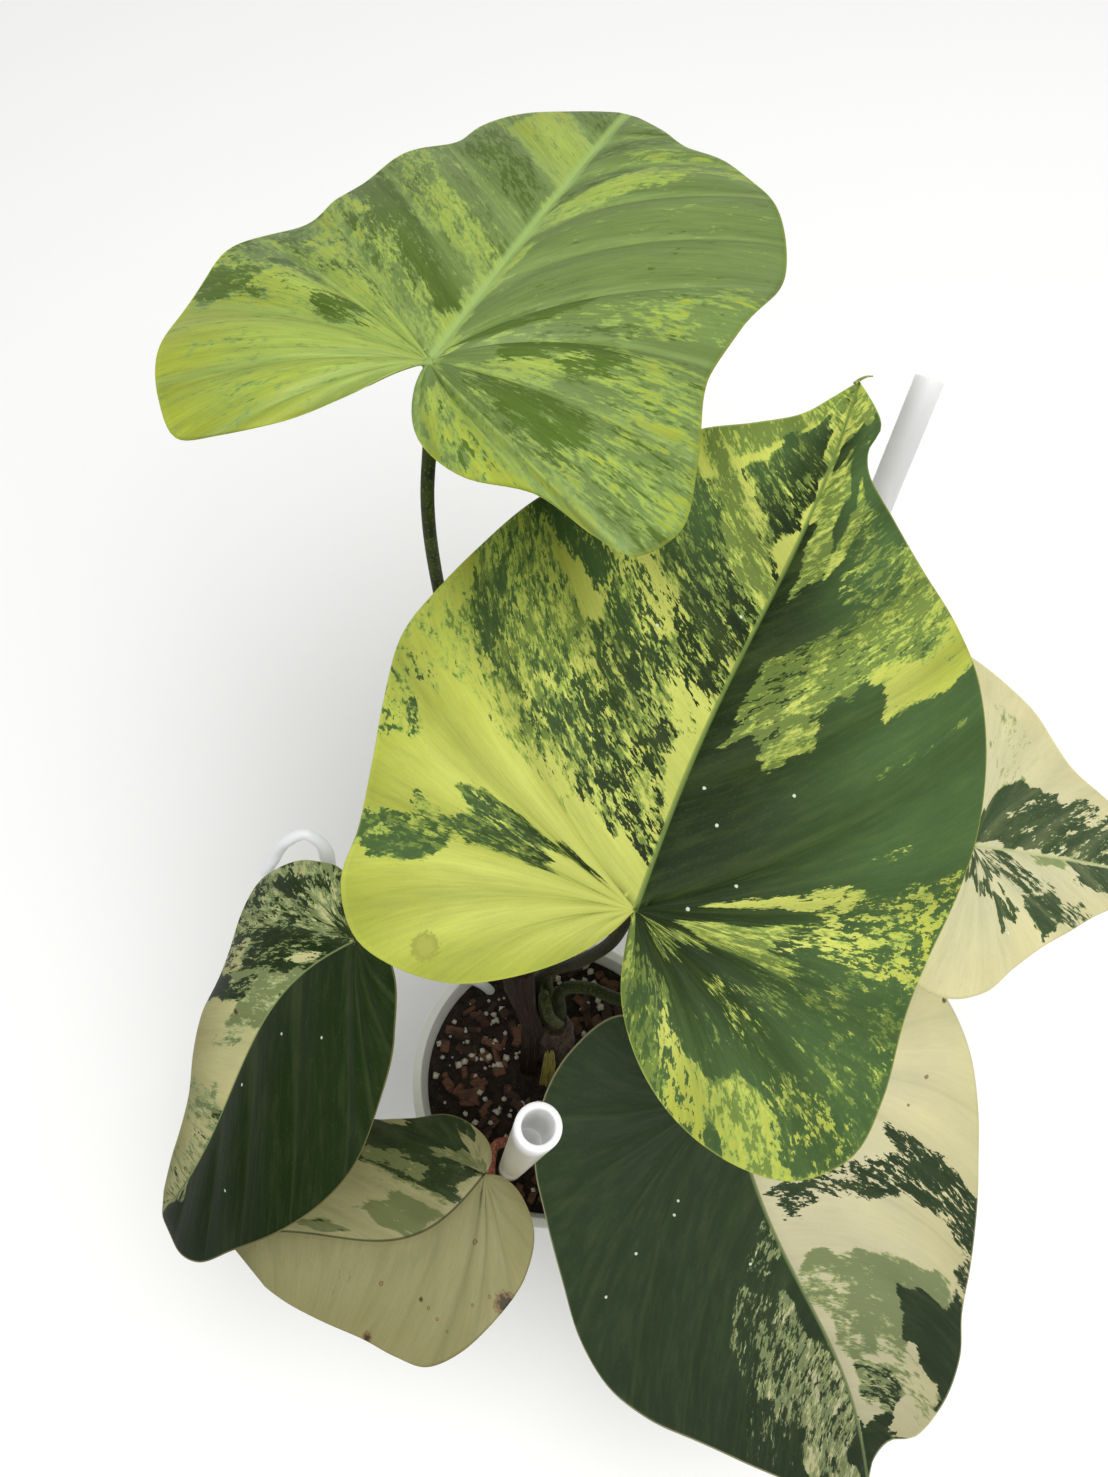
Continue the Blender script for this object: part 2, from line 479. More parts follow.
            (8.7, 9.35, 0.2, 1.1, -1, 0), (9.35, 10, 0.42, 1.1, -1, 0.12), (9.2, 10, 0, 0.44, -0.4, 0.1),
            (10, 11.5, 0, 1.1, -0.4, 0.1)]),
        petiole=[(-5, 11.5, 120), (-8.5, 16, 142), (-12, 23, 168), (-20, 31, 198), (-38, 34, 219)],
        petiole_radius=1.8, stalk=(84, 92, 56),
        quilting=1.2, wave=0.8, waves=5, slot="leaf_green", midrib_width=0.7, seed=15.2,
        dark=(29, 45, 17), grey=(124, 136, 88), lime=(160, 172, 118), pale=(202, 198, 142),
        rib=(132, 146, 96), gold=(170, 164, 104), vein_show=0.06, vein_width=0.9, furrow=0.08,
        gloss=0.04, soft=0.04, lined=0.25, mottle=0.35, deepen=0.75, shade=0,
        spots=[*specks((-28.9, 103.7), (-4.8, 76.2), (-4, 46.6), (-17.3, 28.6)), (18.1, 66.2, 1.4, "dead")]),
    "f": dict(
        joint=(-24.5, -41, 162), heading=-113.9, pitch=-11.9, roll=12.3,
        tip=(24, 106), half_width=48, droop=6, lobe_droop=60, sway=-7, wobble=-5.2, lean=24,
        left=dict(fold=4, curl=8, rise=0.8, bend=(0.55, 0.3), outline=[
            (-4, -6), (-12, -10), (-26, -10), (-37, -2), (-45, 12), (-50, 28), (-49, 42), (-42, 51),
            (-33, 60), (-20, 75), (-8, 87), (4, 96)],
            base=(-1, 1), sectors=[
            (0, 5.4, 0, 0.5, -1, 0.45), (8, 10.5, 0.3, 1.1, -1, 0.4)]),
        right=dict(fold=4, curl=8, rise=1.2, bend=(0.5, 0.4), outline=[
            (3, -4), (10, -5), (20, 0), (27, 8), (31, 20), (36, 31), (40, 40), (40, 54), (38, 70),
            (35, 84), (31, 97)],
            base=(-1, 0.6), sectors=[
            (0, 6.2, 0, 0.4, -0.95, -0.4), (1.9, 3.3, 0.25, 0.62, -0.9, 0.1),
            (2.2, 3.4, 0.62, 1.1, 0.3, -0.3), (3.1, 6.3, 0.38, 1.1, 1, -1, -0.5),
            (4.2, 5, 0.9, 1.1, -0.5, 0.6), (6, 6.65, 0, 1.1, 0.35, -0.7),
            (6.2, 6.48, 0.3, 0.8, -0.5, -0.4), (6.65, 7.05, 0, 0.9, -1, 0.3),
            (6.95, 7.7, 0, 0.36, -0.95, -0.7), (8.3, 9, 0.1, 0.42, -0.2, -0.6)]),
        petiole=[(4, 8, 102), (4.6, -4, 103), (1, -20, 107), (-8, -26, 116), (-16, -28, 130),
                 (-22, -31, 144)],
        petiole_radius=1.7, approach=5, stalk=(160, 94, 74),
        quilting=0.5, wave=0.6, waves=5, slot="leaf_cream", midrib_width=0.8, seed=19.6,
        dark=(38, 50, 26), grey=(103, 109, 68), lime=(134, 135, 91), pale=(150, 146, 105),
        rib=(66, 68, 40), gold=(140, 135, 91), vein_show=0.1, vein_width=0.9, furrow=0.02,
        gloss=0.18, soft=0.06, lined=0.2, mottle=1, deepen=0, shade=0,
        spots=[(-42, 8, 4, "dead"), (-32.4, 59, 2, "dead"), (-29.5, 35.5, 1, "dead"),
               (-20.2, 10.7, 1, "brown"), (-18.8, 48, 0.9, "brown"),
               (-42.1, 30.2, 0.6, "brown"), (-37.4, 32.1, 0.6, "brown"),
               (-33, 33.8, 0.6, "brown"), (-38.4, 18.6, 0.6, "brown"), (-38.2, 12.1, 0.6, "brown")]),
}


def leaf_axes(leaf):
    """Directions across the blade, along its midrib and up from it."""
    turn, tilt, bank = (math.radians(leaf[name]) for name in ("heading", "pitch", "roll"))
    along = np.array([math.sin(turn) * math.cos(tilt), math.cos(turn) * math.cos(tilt), math.sin(tilt)])
    level = np.array([math.cos(turn), -math.sin(turn), 0.0])
    across = level * math.cos(bank) + np.cross(along, level) * math.sin(bank)
    return across, along, np.cross(across, along)


def midrib_x(leaf, y):
    v = np.maximum(0, y / leaf["tip"][1])
    return leaf["sway"] * np.sin(np.pi * v) + leaf["wobble"] * np.sin(2 * np.pi * v) + leaf["lean"] * v * v


def blade_height(leaf, x, y):
    """How far the folded, curled and drooping blade lies above its plane."""
    v = y / leaf["tip"][1]
    from_midrib = x - midrib_x(leaf, y)
    u = np.abs(from_midrib) / leaf["half_width"]
    fold = np.where(from_midrib < 0, leaf["left"]["fold"], leaf["right"]["fold"])
    curl = np.where(from_midrib < 0, leaf["left"]["curl"], leaf["right"]["curl"])
    bend = np.where(y > 0, leaf["droop"], leaf["lobe_droop"])
    return fold * u - curl * u * u - bend * v * v


def margin_place(side, margin, root_y):
    """Where on the margin the side vein that leaves the midrib at root_y ends."""
    def root_of(place):
        point = spline(margin, place)
        return point[..., 1] - side["rise"] * np.abs(point[..., 0])

    start = np.linspace(0, 0.58, 30)
    low = np.full(len(root_y), start[np.argmin(root_of(start))])
    high = np.ones(len(root_y))
    for _ in range(30):
        middle = (low + high) / 2
        below = root_of(middle) < root_y
        low = np.where(below, middle, low)
        high = np.where(below, high, middle)
    return (low + high) / 2


def vein_grid(leaf, side, q, s):
    """Places in the blade's plane along the veins numbered q, at shares s of their length."""
    margin = np.array([(0, 0), *side["outline"], leaf["tip"]], float)
    lobe_end = margin_place(side, margin, np.zeros(1))[0]
    root_y = leaf["tip"][1] * np.maximum(0, (q - LOBE_VEINS) / BODY_VEINS)
    place = np.where(q < LOBE_VEINS, lobe_end * q / LOBE_VEINS, margin_place(side, margin, root_y))
    place[-1] = 1
    edge = spline(margin, place)
    root = np.stack([midrib_x(leaf, root_y), root_y], -1)
    reach = edge - root
    control = root + reach * side["bend"]
    s = s[None, :, None]
    points = (1 - s) ** 2 * root[:, None] + 2 * s * (1 - s) * control[:, None] + s * s * edge[:, None]
    return points, np.linalg.norm(reach, axis=1), place


def soft_box(value, low, high, edge):
    """1 between low and high and 0 outside, with edges that soft."""
    rise = np.clip((value - low) / edge + 0.5, 0, 1)
    fall = np.clip((high - value) / edge + 0.5, 0, 1)
    return (rise * rise * (3 - 2 * rise)) * (fall * fall * (3 - 2 * fall))


def wander(q, s, across, along, seed):
    """A smooth random field over the vein places, from -1 to 1, with across and along waves in a unit."""
    lattice = np.random.default_rng(seed).uniform(-1, 1, (ALL_VEINS * across + 2, along + 2))
    u, v = q * across, s * along
    row, column = u.astype(int), v.astype(int)
    u, v = u - row, v - column
    u, v = u * u * (3 - 2 * u), v * v * (3 - 2 * v)
    near = lattice[row, column] * (1 - v) + lattice[row, column + 1] * v
    far = lattice[row + 1, column] * (1 - v) + lattice[row + 1, column + 1] * v
    return near * (1 - u) + far * u


def sector_tones(side, q, s, seed):
    """The shares of dark and of pale at each vein place, painted sector over sector with ragged edges."""
    dark = np.full(q.shape, float(side["base"][0]))
    pale = np.full(q.shape, float(side["base"][1]))
    ragged_q = q + 0.1 * wander(q, s, 2, 6, seed) + 0.05 * wander(q, s, 4, 12, seed + 1)
    ragged_s = s + 0.04 * wander(q, s, 3, 3, seed + 2) + 0.06 * wander(q, s, 6, 2, seed + 3)
    for q_from, q_to, s_from, s_to, to_dark, to_pale, *slant in side["sectors"]:
        shift = sum(slant) * (s - (s_from + min(s_to, 1)) / 2)
        cover = soft_box(ragged_q - shift, q_from, q_to, 0.16) * soft_box(ragged_s, s_from, s_to, 0.08)
        dark += cover * (to_dark - dark)
        pale += cover * (to_pale - pale)
    return dark, pale


def vein_spacing(flat):
    """How far the vein lines lie apart, square to them, two thirds of the way out."""
    column = COLUMNS * 2 // 3
    step = np.diff(flat[:, column], axis=0, prepend=flat[:1, column])
    run = flat[:, column + 1] - flat[:, column - 1]
    run /= np.maximum(np.linalg.norm(run, axis=1, keepdims=True), 1e-6)
    return np.abs(step[:, 0] * run[:, 1] - step[:, 1] * run[:, 0])


def half_blade(leaf, side, seed):
    """Points of one half of the blade's middle surface, and what its material reads there."""
    q = np.linspace(0, ALL_VEINS, ALL_VEINS * ROWS_PER_VEIN + 1)
    s = np.linspace(0, 1, COLUMNS + 1) ** 1.15
    flat, reach, place = vein_grid(leaf, side, q, s)
    x, y = flat[..., 0], flat[..., 1]
    q_grid, s_grid = np.meshgrid(q, s, indexing="ij")
    between = np.abs(np.sin(np.pi * q_grid)) ** 0.8
    breadth = np.minimum(1, reach / leaf["half_width"])[:, None]
    swell = leaf["quilting"] * between * np.sin(np.pi * s_grid) * breadth
    ripple = (leaf["wave"] * s_grid ** 3 * np.sin(2 * np.pi * leaf["waves"] * place)[:, None]
              * np.sin(np.pi * place)[:, None])
    from_rib = np.abs(x - midrib_x(leaf, y)) * (y > 0) + np.hypot(x, y) * (y <= 0)
    groove = 0.5 * np.exp(-(from_rib / 1.6) ** 2)
    z = blade_height(leaf, x, y) + swell + ripple - groove
    dark, pale = sector_tones(side, q_grid, s_grid, int(seed * 10))
    sideways = vein_spacing(flat)
    streak = np.stack([np.cumsum(sideways)[:, None] + 0 * x, s_grid * reach[:, None], 0 * x + seed], -1)
    to_vein = np.abs((q_grid + 0.5) % 1 - 0.5) * (sideways * ROWS_PER_VEIN)[:, None] * np.maximum(s_grid, 0.2)
    lines = np.stack([from_rib, to_vein, (1 - s_grid) * reach[:, None]], -1)
    return dict(points=np.stack([x, y, z], -1), streak=streak, lines=lines,
                tone=np.stack([dark, pale, s_grid], -1), place=np.stack([x, y, 0 * x], -1))


def blade_mesh(leaf):
    """Both faces of a blade: points, faces and a table of what each corner's material reads."""
    halves = [half_blade(leaf, leaf["left"], leaf["seed"]),
              half_blade(leaf, leaf["right"], leaf["seed"] + 50)]
    rows, columns = halves[0]["points"].shape[:2]
    grid = np.arange(rows * columns).reshape(rows, columns)
    quads = grid_quads(grid)
    points = np.concatenate([half["points"].reshape(-1, 3) for half in halves])
    corners = np.concatenate([quads[:, ::-1], quads + rows * columns])
    _, first, shared = np.unique(np.round(points[:, :2], 3), axis=0, return_index=True, return_inverse=True)
    shared = shared.ravel()
    middle = points[first]
    faces = shared[corners]
    normals = np.zeros_like(middle)
    for a, b, c in ((0, 1, 2), (0, 2, 3)):
        cross = np.cross(middle[faces[:, b]] - middle[faces[:, a]], middle[faces[:, c]] - middle[faces[:, a]])
        for corner in (a, b, c):
            np.add.at(normals, faces[:, corner], cross)
    normals /= np.maximum(np.linalg.norm(normals, axis=1, keepdims=True), 1e-9)
    table = {name: np.concatenate([half[name].reshape(-1, 3) for half in halves])
             for name in ("streak", "lines", "tone", "place")}
    from_rib, _, edge_gap = table["lines"][first].T
    taper = 1 - 0.8 * np.clip(middle[:, 1] / leaf["tip"][1], 0, 1)
    half_thick = BLADE_THICKNESS / 2 * np.clip(0.35 + edge_gap / 6, 0, 1)
    rib = MIDRIB_DEPTH * taper * np.exp(-(from_rib / 1.7) ** 2)
    upper = middle + normals * half_thick[:, None]
    lower = middle - normals * (half_thick + rib)[:, None]
    count = len(middle)
    all_faces, all_corners, under = [], [], []
    for face, corner in zip(faces, corners):
        kept = [k for k in range(4) if face[k] != face[k - 1]]
        if len(kept) > 2:
            all_faces.append([face[k] for k in kept])
            all_corners.append([corner[k] for k in kept])
            under.append(0)
            all_faces.append([face[k] + count for k in reversed(kept)])
            all_corners.append([corner[k] for k in reversed(kept)])
            under.append(1)
    rim = np.concatenate([grid[:, -1], grid[::-1, -1] + rows * columns])
    for corner, next_corner in zip(rim, np.roll(rim, -1)):
        here, after = shared[corner], shared[next_corner]
        if here != after:
            all_faces.append([after, here, here + count, after + count])
            all_corners.append([next_corner, corner, corner, next_corner])
            under.append(0)
    return np.vstack([upper, lower]), all_faces, all_corners, under, table


def make_leaf(name, leaf):
    """A blade in its place, with what its material reads stored at the corners of its faces."""
    points, faces, corners, under, table = blade_mesh(leaf)
    across, along, up = leaf_axes(leaf)
    placed = np.array(leaf["joint"], float) + points @ np.array([across, along, up])
    material = leaf_material(name, leaf)
    piece = new_piece(f"blade_{name}", placed, faces, material, f"leaf_{name}")
    flat_corners = np.concatenate([np.array(face) for face in corners])
    for key, values in table.items():
        attribute = piece.data.attributes.new(key, "FLOAT_VECTOR", "CORNER")
        attribute.data.foreach_set("vector", values[flat_corners].astype(np.float32).ravel())
    side = piece.data.attributes.new("underside", "FLOAT", "FACE")
    side.data.foreach_set("value", np.array(under, np.float32))


# A spot's colours: its core and its ring
SPOTS = {
    "speck": ((214, 224, 206), (190, 204, 180)),
    "brown": ((150, 116, 78), (98, 72, 44)),
    "scar": ((158, 160, 76), (146, 148, 66)),
    "dead": ((44, 32, 28), (116, 94, 60)),
}


def spotted(n, colour, leaf, place):
    """The colour with the leaf's spots on it, each with a ragged border."""
    flat_place = n.scaled(place, (1, 1, 0))
    uneven = n.times(n.math("SUBTRACT", n.noise(flat_place, 0.9, 3, 0.6), 0.5), 1.4)
    for x, y, radius, kind in leaf["spots"]:
        reach = n.plus(n.math("DIVIDE", n.away_from(flat_place, (x, y, 0)), radius), uneven)
        core, ring = SPOTS[kind]
        spot = n.mix(n.step(reach, 0.45, 0.7), srgb(*core), srgb(*ring))
        cover = n.inverse(n.step(reach, 0.8, 1.1))
        colour = n.mix(n.times(cover, 0.85), colour, spot)
    return colour


TONES = ("dark", "grey", "lime", "pale", "gold", "rib")


def leaf_material(name, leaf):
    """Tissue in five greens, streaked along the veins, with ribs, rim, spots and fine grain."""
    n = Nodes(f"blade_{name}")
    streak, _ = n.attribute("streak")
    _, (from_rib, from_vein, from_edge) = n.attribute("lines")
    _, (dark_share, pale_share, vein_place) = n.attribute("tone")
    place, (_, up_blade, _) = n.attribute("place")
    under = n.add("ShaderNodeAttribute", attribute_name="underside").outputs["Fac"]
    soft = leaf["soft"]
    dark, grey, lime, pale, gold, rib = (srgb(*leaf[tone]) for tone in TONES)

    def field(width, length, seed, detail, strength):
        """Noise about 0, in streaks of that width and length."""
        streaks = n.scaled(streak, (1 / width, 1 / length, 1))
        moved = n.add("ShaderNodeVectorMath", (streaks, (seed, seed / 2, 0)), operation="ADD").outputs[0]
        return n.times(n.math("SUBTRACT", n.noise(moved, 1.0, detail, 0.6, 0.3), 0.5), strength)

    def share(bias, seed):
        """A painted share broken up by broad, narrow and tiny streaks."""
        broad = field(5.0, 14, seed, 2, 1.2)
        narrow = field(1.5, 6.0, seed + 9, 4, 2.1)
        speck = field(0.55, 2.0, seed + 23, 2, 1.15)
        return n.plus(n.plus(broad, narrow), n.plus(speck, bias))

    dark_field = share(dark_share, 0.0)
    near_dark = n.times(n.math("MAXIMUM", dark_field, -0.4), -0.35)
    pale_field = n.plus(share(pale_share, 31.0), near_dark)
    tint = n.stretched(streak, (1 / 2.5, 1 / 14, 1), 4, 0.6)
    grain = n.stretched(streak, (1.8, 0.9, 1), 3, 0.6)
    cloud = n.stretched(streak, (1 / 14, 1 / 30, 1), 2, 0.5)
    outward = n.plus(n.times(cloud, 0.8), vein_place)
    pale_tone = n.mix(n.step(outward, 0.7, 1.5), pale, gold)
    colour = n.mix(n.step(pale_field, -0.09 - soft, -0.09 + soft), grey, lime)
    colour = n.mix(n.step(pale_field, 0.15 - soft, 0.15 + soft), colour, pale_tone)
    mid_dark = [0.82 * deep + 0.18 * light for deep, light in zip(leaf["dark"], leaf["grey"])]
    dark_tone = n.mix(n.step(dark_field, 0.06, 0.3), srgb(*mid_dark), dark)
    lit = n.times(n.step(vein_place, 0.05, 0.7), 1.46 * leaf["shade"])
    dark_tone = n.brighten(dark_tone, n.plus(1 - leaf["shade"], lit))
    colour = n.mix(n.step(dark_field, -soft, soft), colour, dark_tone)
    haze = n.times(n.step(tint, 0.4, 0.75), 0.18 * leaf["mottle"])
    fleck = n.times(n.step(grain, 0.55, 0.75), 0.2 * leaf["mottle"])
    colour = n.mix(fleck, n.mix(haze, colour, grey), grey)
    furrow = n.times(n.inverse(n.step(from_vein, 0.5, 7.0)), -leaf["furrow"])
    vein_line = n.inverse(n.step(from_vein, 0.15, leaf["vein_width"]))
    colour = n.mix(n.times(vein_line, leaf["vein_show"]), colour, rib)
    lines = n.plus(field(0.6, 12, 57, 3, leaf["lined"]), field(1.8, 45, 71, 2, 0.7 * leaf["lined"]))
    clouding = n.times(n.math("SUBTRACT", cloud, 0.5), 0.25)
    colour = n.brighten(colour, n.plus(n.plus(1.0, lines), n.plus(clouding, furrow)))
    to_tip = n.math("DIVIDE", up_blade, leaf["tip"][1])
    deepening = n.times(n.math("SUBTRACT", 0.3, to_tip), leaf["deepen"])
    colour = n.brighten(colour, n.plus(1.0, deepening))
    rib_line = n.inverse(n.step(from_rib, leaf["midrib_width"] * 0.35, leaf["midrib_width"]))
    colour = n.mix(n.times(rib_line, 0.85), colour, rib)
    rim_line = n.inverse(n.step(from_edge, 0.25, 0.8))
    colour = n.mix(n.times(rim_line, 0.4), colour, gold)
    colour = spotted(n, colour, leaf, place)
    paler = n.mix(0.45, colour, srgb(*[min(255, v * 1.1) for v in leaf["grey"]]))
    colour = n.mix(under, colour, paler)
    ribs = n.times(n.stretched(streak, (0.8, 1 / 40, 1), 2, 0.5), 0.6)
    n.bump(n.plus(ribs, n.times(grain, 0.3)), 0.35, 0.0006)
    rough = n.plus(0.4, n.times(n.plus(tint, under), 0.12))
    return n.surface(Base_Color=colour, Roughness=rough, Specular_IOR_Level=leaf["gloss"])


TIP_THREAD = [(1.8, 196, 0), (3.0, 198.2, 0.4), (4.6, 199.8, 0.8), (6.4, 200.8, 0.8)]


def make_tip_thread():
    """The dry thread that ends the largest blade."""
    leaf = LEAVES["b"]
    flat = np.array(TIP_THREAD, float)
    flat[:, 2] += blade_height(leaf, flat[:, 0], np.full(len(flat), float(leaf["tip"][1])))
    placed = np.array(leaf["joint"], float) + flat @ np.array(leaf_axes(leaf))
    points, faces, wrap = tube(placed, 20, 10, lambda t, angle: 0.7 - 0.45 * t + 0 * angle)
    material = petiole_material("thread", (176, 182, 98), (190, 194, 118))
    new_piece("tip_thread", points, faces, material, "leaf_b", wrap)


# Petioles, the cut stump and the stem

def petiole_path(leaf):
    """From the socket in the stem to the underside of the midrib's start."""
    up = leaf_axes(leaf)[2]
    joint = np.array(leaf["joint"], float)
    return [*leaf["petiole"], joint - up * leaf.get("approach", 12), joint - up * (BLADE_THICKNESS / 2 + 0.6)]


def petiole_radius(top_radius):
    """Thick at the foot, slim in the middle, with a knee under the blade and a shallow furrow along."""
    def radius_at(t, angle):
        rod = PETIOLE_BASE_RADIUS + (top_radius - PETIOLE_BASE_RADIUS) * t
        knee = 0.16 * np.exp(-((t - 0.955) / 0.035) ** 2) + 0.12 * np.exp(-(t / 0.05) ** 2)
        furrow = 0.05 * np.cos(angle - 1.2) ** 8
        return rod * (1 + knee - furrow)
    return radius_at


def petiole_material(name, tone, young):
    """Green skin, darker and browner in blotches, with pale raised dots and fine lengthwise lines."""
    n = Nodes(f"petiole_{name}")
    wrap, (along, angle, _) = n.attribute("wrap")
    place = n.millimetres()
    blotch = n.noise(place, 0.16, 4, 0.6)
    dots = n.step(n.cells(place, 0.75), 0.22, 0.4)
    lines = n.stretched(wrap, (0.05, 3.2, 1), 3, 0.6)
    dark = srgb(*[v * 0.62 for v in tone])
    light = srgb(*[min(255, v * 1.3) for v in tone])
    colour = n.mix(n.step(blotch, 0.35, 0.65), dark, srgb(*tone))
    colour = n.mix(n.times(n.step(lines, 0.5, 0.75), 0.5), colour, light)
    colour = n.mix(n.times(n.inverse(dots), 0.4), colour, srgb(*young))
    height = n.plus(n.times(dots, -0.7), n.times(lines, 0.5))
    n.bump(height, 0.6, 0.0007)
    rough = n.plus(0.5, n.times(blotch, 0.25))
    return n.surface(Base_Color=colour, Roughness=rough, Specular_IOR_Level=0.15)


def make_petioles():
    for name, leaf in LEAVES.items():
        points, faces, wrap = tube(petiole_path(leaf), 90, 28, petiole_radius(leaf["petiole_radius"]))
        material = petiole_material(name, leaf["stalk"], [min(255, v * 1.7) for v in leaf["stalk"]])
        new_piece(f"stalk_{name}", points, faces, material, f"petiole_{name}", wrap)


CUT_STUMP = [(-1.6, 13, 138), (-3, 18.5, 156), (-3.1, 21.4, 171), (-2.5, 18, 178), (-1.2, 14.1, 174),
             (1.3, 12.2, 167), (3.5, 12.4, 161)]
STUMP_RADIUS = 2.6


def make_stump():
    def radius_at(t, angle):
        shrivel = 0.07 * np.sin(3 * angle + 9 * t) + 0.04 * np.sin(17 * t + 2 * angle)
        return STUMP_RADIUS * (1 - 0.3 * t) * (1 + shrivel - 0.35 * np.clip((t - 0.93) / 0.07, 0, 1) ** 2)
    points, faces, wrap = tube(CUT_STUMP, 60, 24, radius_at)
    material = petiole_material("stump", (62, 68, 28), (112, 118, 62))
    new_piece("curled_stump", points, faces, material, "petiole_stump", wrap)


STEM_PATH = [(2.4, 8, 62), (2, 10, SOIL_HEIGHT), (1.4, 12, 118), (1, 14.5, 150)]
STEM_RADIUS = 8
STEM_TAPER = 1.2
STEM_RINGS = 7


def make_stem():
    """A short woody stem with raised leaf scars and corky ridges."""
    def radius_at(t, angle):
        ring = np.cos(2 * np.pi * STEM_RINGS * (t + 0.012 * np.sin(angle + 5 * t)))
        swell = 0.9 * np.sign(ring) * np.abs(ring) ** 1.4
        ridges = 0.22 * np.sin(11 * angle + 3 * np.sin(9 * t)) + 0.15 * np.sin(23 * angle + 14 * t)
        crown = 2.5 / (1 + np.exp(-(t - 0.955) / 0.006))
        return STEM_RADIUS - STEM_TAPER * t + 0.8 * swell + ridges - crown
    points, faces, _ = tube(STEM_PATH, 130, 64, radius_at)
    n = Nodes("stem_bark")
    place = n.millimetres()
    cork = n.stretched(place, (0.5, 0.5, 0.14), 5, 0.65)
    grit = n.noise(place, 1.6, 3, 0.6)
    colour = n.mix(n.step(cork, 0.35, 0.7), srgb(34, 26, 20), srgb(86, 66, 46))
    colour = n.mix(n.step(grit, 0.62, 0.75), colour, srgb(96, 104, 60))
    n.bump(n.plus(cork, n.times(grit, 0.4)), 0.8, 0.0012)
    material = n.surface(Base_Color=colour, Roughness=0.86)
    new_piece("stem_bark", points, faces, material, "stem")


# Sheaths. A sheath is a bowed strip along a path, ribbed along its length, with a torn end.

SHEATH_STEPS = 70
SHEATH_COLUMNS = 36


def along_rows(field, row):
    """A field of vectors, one a row, read between its rows."""
    return np.stack([np.interp(row, np.arange(len(field)), field[:, axis]) for axis in range(3)], -1)


def sheath_strip(path, facing, radius, wrap, widths, thickness, ribs, tear, seed):
    """Points, faces and wrap of a sheath whose hollow side looks away from facing."""
    steps, columns = SHEATH_STEPS, SHEATH_COLUMNS
    centres = even_curve(path, steps + 1)
    tangents = np.gradient(centres, axis=0)
    tangents /= np.linalg.norm(tangents, axis=1, keepdims=True)
    outward = np.asarray(facing, float) - tangents * (tangents @ np.asarray(facing, float))[:, None]
    outward /= np.linalg.norm(outward, axis=1, keepdims=True)
    sideways = np.cross(tangents, outward)
    chance = np.random.default_rng(seed)
    across = np.linspace(-0.5, 0.5, columns + 1)
    torn = tear * np.interp(across, np.linspace(-0.5, 0.5, 9), chance.random(9))
    t = np.linspace(0, 1, steps + 1)[:, None] * (1 - torn)[None, :]
    width = widths[0] + (widths[1] - widths[0]) * t ** 3 + 0.03 * np.sin(21 * t + 4 * across)
    angle = wrap * width * across
    rib = 0.35 * np.cos(2 * np.pi * ribs * across) + 0.25 * np.sin(9 * t + 14 * across)
    layers = []
    for face in (1, -1):
        edge = np.clip((0.5 - np.abs(across)) * 8, 0.3, 1)
        reach = radius + rib + face * thickness / 2 * edge
        centre, out, side = (along_rows(field, t * steps) for field in (centres, outward, sideways))
        layers.append(centre + out * (reach * np.cos(angle) - radius)[..., None]
                      + side * (reach * np.sin(angle))[..., None])
    points = np.concatenate([layer.reshape(-1, 3) for layer in layers])
    grid = np.arange((steps + 1) * (columns + 1)).reshape(steps + 1, columns + 1)
    quads = grid_quads(grid)
    faces = [*quads, *(quads[:, ::-1] + grid.size)]
    rim = [*grid[0, :], *grid[1:, -1], *grid[-1, -2::-1], *grid[-2:0:-1, 0]]
    for k, here in enumerate(rim):
        after = rim[(k + 1) % len(rim)]
        faces.append((after, here, here + grid.size, after + grid.size))
    fields = np.broadcast_arrays(t * 100, across[None, :] * wrap * radius, 0.0)
    wrap_place = np.stack(fields, -1).reshape(-1, 3)
    return points, faces, np.vstack([wrap_place, wrap_place])


DRIED_SHEATH_PATH = [(-10.8, 0.4, 86), (-10.5, 2.9, 99), (-9.3, 7.8, 130), (-8.9, 12, 163),
                     (-11.7, 16.6, 180), (-13.4, 21, 196), (-13.6, 23.5, 206)]
FRESH_SHEATH_PATH = [(-3.3, -4.9, 84), (-1.9, 0, 105), (-1.3, 3, 125), (-1, 5, 145)]


def make_dried_sheath():
    points, faces, wrap = sheath_strip(DRIED_SHEATH_PATH, facing=(-0.35, -0.94, 0), radius=8, wrap=2.1,
                                       widths=(0.46, 1), thickness=1.0, ribs=7, tear=0.06, seed=3)
    n = Nodes("dried_sheath")
    place, _ = n.attribute("wrap")
    fibre = n.stretched(place, (0.08, 1.6, 1), 4, 0.65)
    blotch = n.stretched(place, (0.07, 0.3, 1), 3, 0.5)
    colour = n.mix(n.step(fibre, 0.35, 0.7), srgb(34, 24, 16), srgb(58, 44, 30))
    colour = n.mix(n.step(blotch, 0.55, 0.8), colour, srgb(82, 68, 54))
    n.bump(fibre, 0.8, 0.001)
    material = n.surface(Base_Color=colour, Roughness=0.72, Specular_IOR_Level=0.15)
    new_piece("dried_sheath", points, faces, material, "sheath_dried", wrap)


def make_fresh_sheath():
    points, faces, wrap = sheath_strip(FRESH_SHEATH_PATH, facing=(-0.1, -0.99, 0), radius=8, wrap=0.8,
                                       widths=(1, 0.4), thickness=0.9, ribs=5, tear=0.1, seed=8)
    n = Nodes("fresh_sheath")
    place, _ = n.attribute("wrap")
    fibre = n.stretched(place, (0.06, 1.4, 1), 4, 0.6)
    colour = n.mix(n.step(fibre, 0.3, 0.7), srgb(128, 118, 56), srgb(172, 162, 82))
    n.bump(fibre, 0.6, 0.0008)
    material = n.surface(Base_Color=colour, Roughness=0.5)
    new_piece("fresh_sheath", points, faces, material, "sheath_fresh", wrap)


# Pot and potting mix

